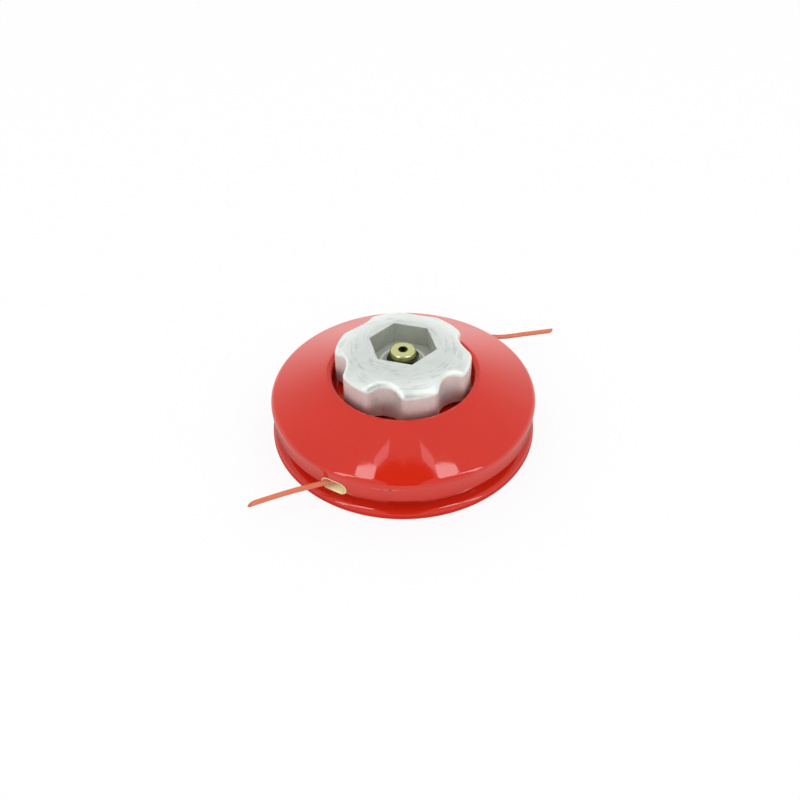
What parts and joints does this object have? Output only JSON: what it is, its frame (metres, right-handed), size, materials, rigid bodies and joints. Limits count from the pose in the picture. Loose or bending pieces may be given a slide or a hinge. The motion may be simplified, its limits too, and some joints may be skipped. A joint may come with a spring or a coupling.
{
  "type": "trimmer head",
  "caption": "Round two-shell string trimmer head with a conical cover, lobed screw-down knob, flared line exits and short line ends.",
  "frame": {"origin": "centre of the base lip's underside, where the head rests on the ground", "axes": "+Z along the shaft axis, from the gearbox side out through the knob; -Y is the pictured front"},
  "size_m": [0.147, 0.1296, 0.0507],
  "materials": {
    "housing_paint": "gloss",
    "cover_paint": "gloss",
    "eyelet_brass": "polished",
    "arbor_steel": "turned",
    "plated_steel": "zinc plated",
    "spring_steel": "dark",
    "dark_steel": "olive plated",
    "yellow_zinc": "yellow zinc plated",
    "knob_aluminium": "cast and turned",
    "spool_nylon": "moulded",
    "brake_rubber": "matte",
    "line_nylon": "extruded"
  },
  "bodies": {
    "head": {"housing": "housing_paint", "cover": "cover_paint", "eyelet_front": "eyelet_brass", "eyelet_rear": "eyelet_brass", "arbor": "arbor_steel", "arbor_washer": "plated_steel", "arbor_ring": "spring_steel", "spring": "spring_steel", "spring_seat": "plated_steel", "inner_line_front": "line_nylon", "inner_line_rear": "line_nylon", "line_end_front": "line_nylon", "line_end_rear": "line_nylon", "stop_nut": "dark_steel", "lock_screw": "yellow_zinc"},
    "spool_set": {"spool": "spool_nylon", "brake_ring": "brake_rubber", "winding": "line_nylon"},
    "thrust": {"thrust_washer": "plated_steel"},
    "knob_set": {"knob": "knob_aluminium", "knob_insert": "arbor_steel", "washer_clip": "spring_steel"}
  },
  "joints": [
    {"name": "spool_spin", "type": "hinge", "parent": "head", "child": "spool_set", "pos_m": [0, 0, 0.02], "axis": [0, 0, 1], "continuous": true},
    {"name": "knob_lift", "type": "slide", "parent": "head", "child": "thrust", "axis": [0, 0, 1], "range_m": [0, 0.0013]},
    {"name": "knob_turn", "type": "hinge", "parent": "thrust", "child": "knob_set", "pos_m": [0, 0, 0.04], "axis": [0, 0, -1], "range_deg": [0, 312]}
  ],
  "couplings": [
    {"joint": "knob_lift", "follows": "knob_turn", "m_per_rad": 0.00023873}
  ]
}
